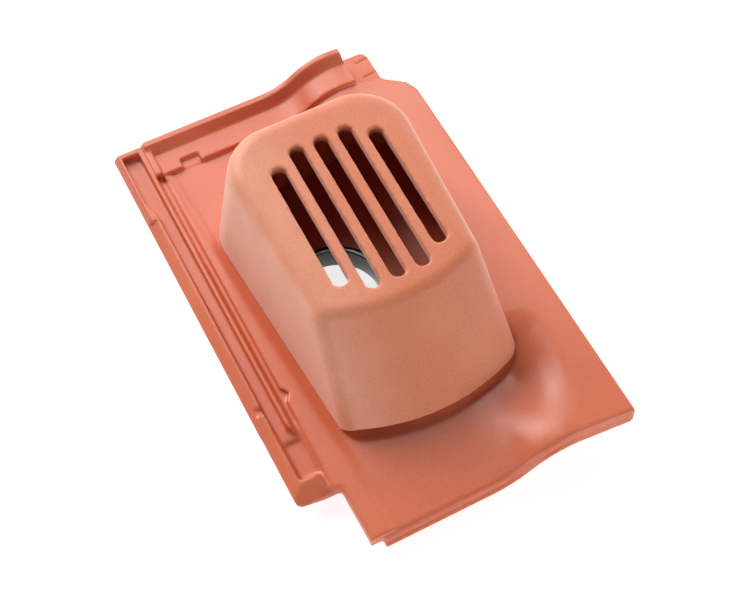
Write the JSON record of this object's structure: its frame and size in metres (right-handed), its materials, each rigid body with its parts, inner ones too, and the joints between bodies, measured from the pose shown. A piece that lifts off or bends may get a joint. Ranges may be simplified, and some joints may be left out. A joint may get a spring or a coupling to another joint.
{
  "type": "roof tile vent",
  "caption": "Clay interlocking roof tile with a bonded clay vent hood, slotted on top, over a black plastic pipe sleeve",
  "frame": {"origin": "middle of the tile's plan on the plane of its foot rib and lugs", "axes": "+Y runs up the roof to the tile's head, +X to its cover roll, +Z out of the roof"},
  "size_m": [0.281, 0.437, 0.1224],
  "materials": {
    "tile_clay": "satin engobe",
    "hood_clay": "matte sanded",
    "sleeve_plastic": "gloss"
  },
  "bodies": {
    "root": {"base_tile": "tile_clay", "vent_hood": "hood_clay", "pipe_sleeve": "sleeve_plastic"}
  },
  "joints": []
}
